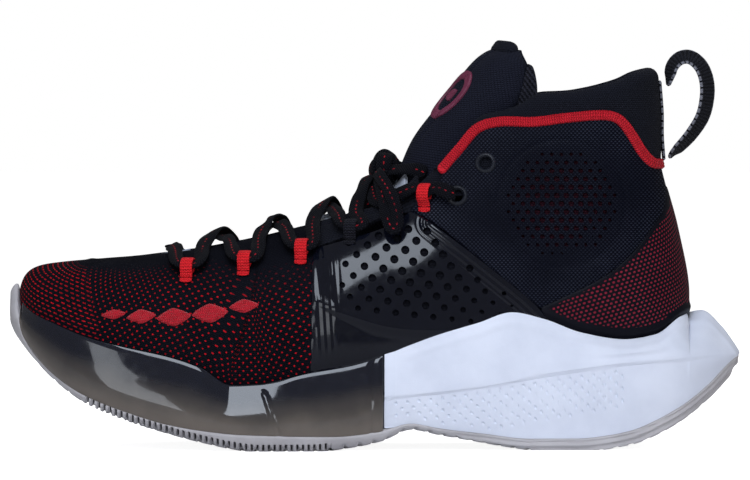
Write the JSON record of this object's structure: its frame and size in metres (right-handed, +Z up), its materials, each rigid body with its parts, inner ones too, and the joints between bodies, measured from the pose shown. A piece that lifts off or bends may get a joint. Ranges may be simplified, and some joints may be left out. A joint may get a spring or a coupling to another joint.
{
  "type": "basketball high top shoe",
  "caption": "Left high-top basketball shoe: knitted forefoot, perforated glossy cage, coated ankle panels, padded collar, wrapped smoky forefoot shell, white heel midsole, rubber outsole.",
  "frame": {"origin": "on the ground under the middle of the shoe's length and width, without the free lace ends", "axes": "+Z up, +X towards the heel, -Y the lateral (outer) side, +Y the medial side; a left shoe"},
  "size_m": [0.305, 0.114, 0.171],
  "materials": {
    "knit": "matte knitted textile with a dotted red second yarn",
    "gloss_film": "glossy moulded film, perforated",
    "coated_mesh": "coated mesh with raised dots",
    "dotted_synthetic": "synthetic skin with red printed squares",
    "stiffener": "thermoplastic stiffener sheet",
    "padding": "knit over foam padding",
    "lining": "brushed lining over thin foam",
    "insole": "textile on moulded foam",
    "board": "woven sock board",
    "grey_rubber": "warm grey rubber",
    "smoky_tpu": "smoky translucent thermoplastic",
    "core_foam": "foam",
    "white_foam": "white moulded foam",
    "shank": "fibre-filled plastic plate",
    "gel": "soft cushioning insert",
    "badge": "soft moulded badge",
    "grey_film": "light grey glossy film",
    "elastic": "ribbed elastic",
    "red_webbing": "woven red webbing",
    "red_embroidery": "satin-stitched red thread",
    "black_webbing": "woven black webbing with pale edge stitches",
    "black_plastic": "matte black plastic",
    "aglet_plastic": "clear-coated black plastic tip",
    "lace": "flat woven black lace with small red marks"
  },
  "bodies": {
    "shoe": {"aglet_1": "aglet_plastic", "aglet_2": "aglet_plastic", "ankle_panel_lateral": "coated_mesh", "ankle_panel_medial": "coated_mesh", "bow_loop_lateral": "lace", "bow_loop_medial": "lace", "collar_lining": "lining", "collar_padding": "padding", "collar_piping_lateral": "red_webbing", "collar_piping_medial": "red_webbing", "eyelet_lower_lateral": "black_plastic", "eyelet_lower_medial": "black_plastic", "eyelet_upper_lateral": "black_plastic", "eyelet_upper_medial": "black_plastic", "eyestay_lateral": "knit", "eyestay_medial": "knit", "forefoot_accent_lateral": "red_embroidery", "forefoot_accent_medial": "red_embroidery", "forefoot_cushion_pod": "gel", "forefoot_foam": "core_foam", "forefoot_tpu_shell": "smoky_tpu", "heel_counter": "stiffener", "heel_cushion_pod": "gel", "heel_midsole": "white_foam", "heel_panel": "dotted_synthetic", "hidden_loop_lateral": "black_webbing", "hidden_loop_medial": "black_webbing", "insole": "insole", "lace_half_lateral": "lace", "lace_half_medial": "lace", "lace_knot": "lace", "lace_loop_1_lateral": "red_webbing", "lace_loop_1_medial": "red_webbing", "lace_loop_2_lateral": "red_webbing", "lace_loop_2_medial": "red_webbing", "lace_loop_3_lateral": "red_webbing", "lace_loop_3_medial": "red_webbing", "lace_loop_4_lateral": "red_webbing", "lace_loop_4_medial": "red_webbing", "lace_run_lateral": "lace", "lace_run_medial": "lace", "lace_tail_1": "lace", "lace_tail_2": "lace", "midfoot_cage_lateral": "gloss_film", "midfoot_cage_medial": "gloss_film", "outsole": "grey_rubber", "pull_anchor_upper": "black_webbing", "shank_plate": "shank", "strobel_board": "board", "throat_film": "grey_film", "toe_puff": "stiffener", "tongue_lower": "padding", "vamp_knit": "knit", "vamp_lining": "lining"},
    "tongue": {"tongue_upper": "padding", "tongue_badge": "badge", "tongue_binding": "padding", "tongue_gusset_lateral": "elastic", "tongue_gusset_medial": "elastic"},
    "pull_loop": {"pull_loop": "black_webbing"}
  },
  "joints": [
    {"name": "tongue_flex", "type": "hinge", "parent": "shoe", "child": "tongue", "pos_m": [0.0106, 0, 0.1198], "axis": [0, 1, 0], "range_deg": [-12, 0], "stiffness_Nm_per_rad": 0.04},
    {"name": "pull_loop_swing", "type": "hinge", "parent": "shoe", "child": "pull_loop", "pos_m": [0.1206, 0, 0.138], "axis": [0, 0, 1], "range_deg": [-35, 35], "stiffness_Nm_per_rad": 0.004}
  ]
}
